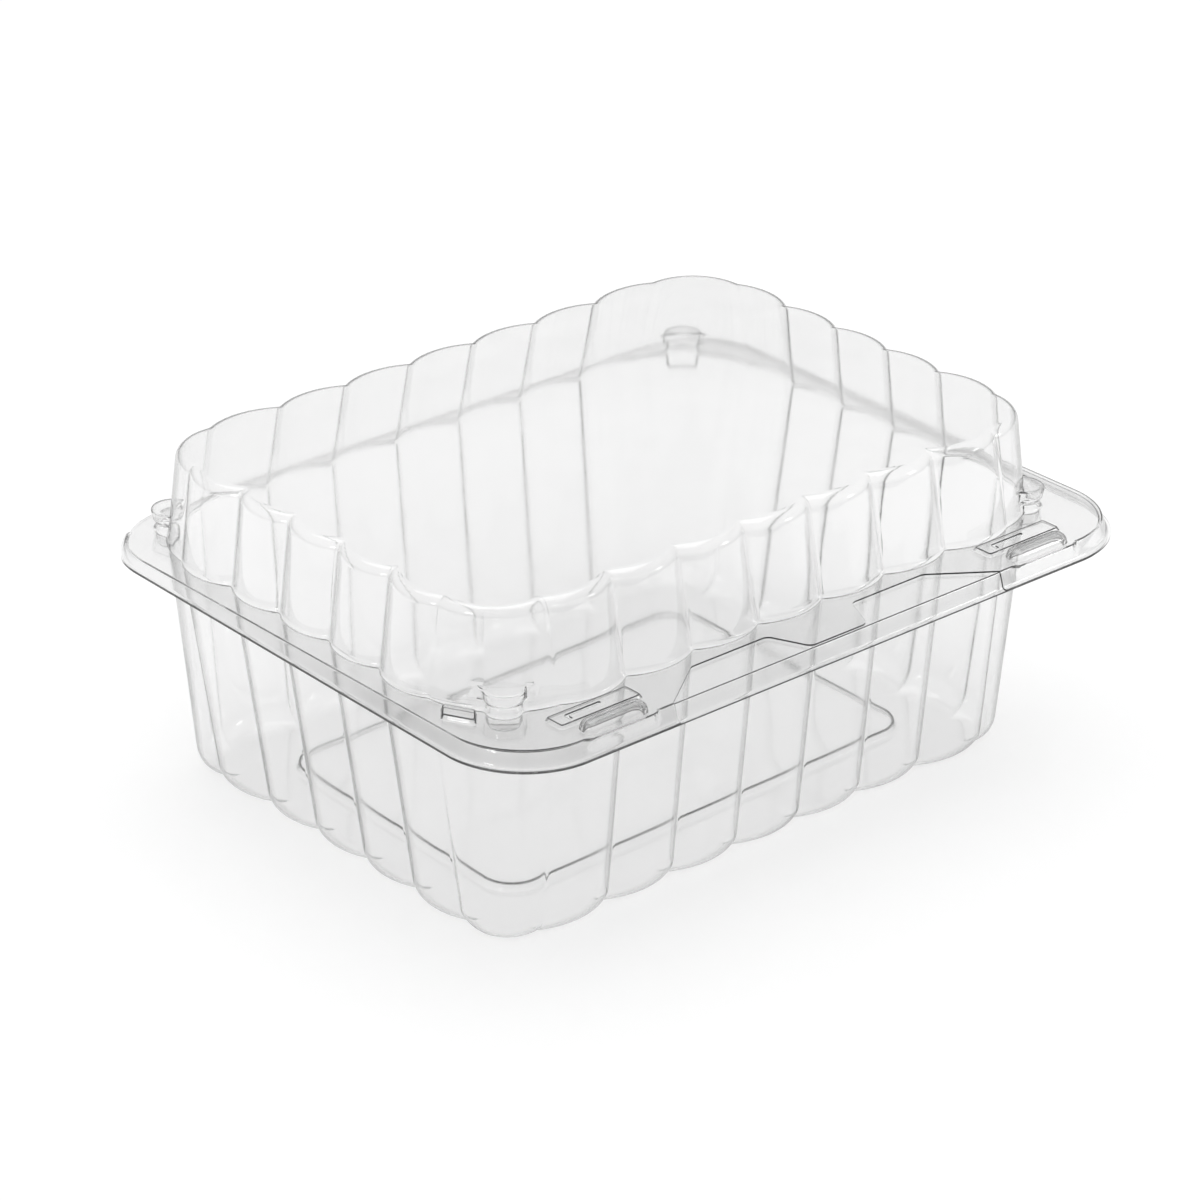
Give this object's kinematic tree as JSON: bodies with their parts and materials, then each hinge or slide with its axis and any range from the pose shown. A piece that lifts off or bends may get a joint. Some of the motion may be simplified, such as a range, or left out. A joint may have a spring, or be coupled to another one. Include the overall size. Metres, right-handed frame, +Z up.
{
  "type": "plastic clamshell pack",
  "caption": "Clear hinged clamshell pack with a deep scalloped tray, a shallow domed lid, front snap latches and a thumb tab.",
  "frame": {"origin": "On the floor, in the middle of the closed pack's overall outline", "axes": "+X along the long side, -Y towards the latches and thumb tab, +Y towards the hinge, +Z up"},
  "size_m": [0.2204, 0.1718, 0.0942],
  "materials": {
    "clear_sheet": "clear thermoformed sheet, glossy, faintly grey where light crosses it edge on"
  },
  "bodies": {
    "tray": {"base_tray": "clear_sheet", "living_hinge": "clear_sheet"},
    "lid": {"lid": "clear_sheet"}
  },
  "joints": [
    {"name": "lid_hinge", "type": "hinge", "parent": "tray", "child": "lid", "pos_m": [0, 0.08532, 0.06815], "axis": [-1, 0, 0], "range_deg": [0, 180], "deforming": ["living_hinge"]}
  ]
}
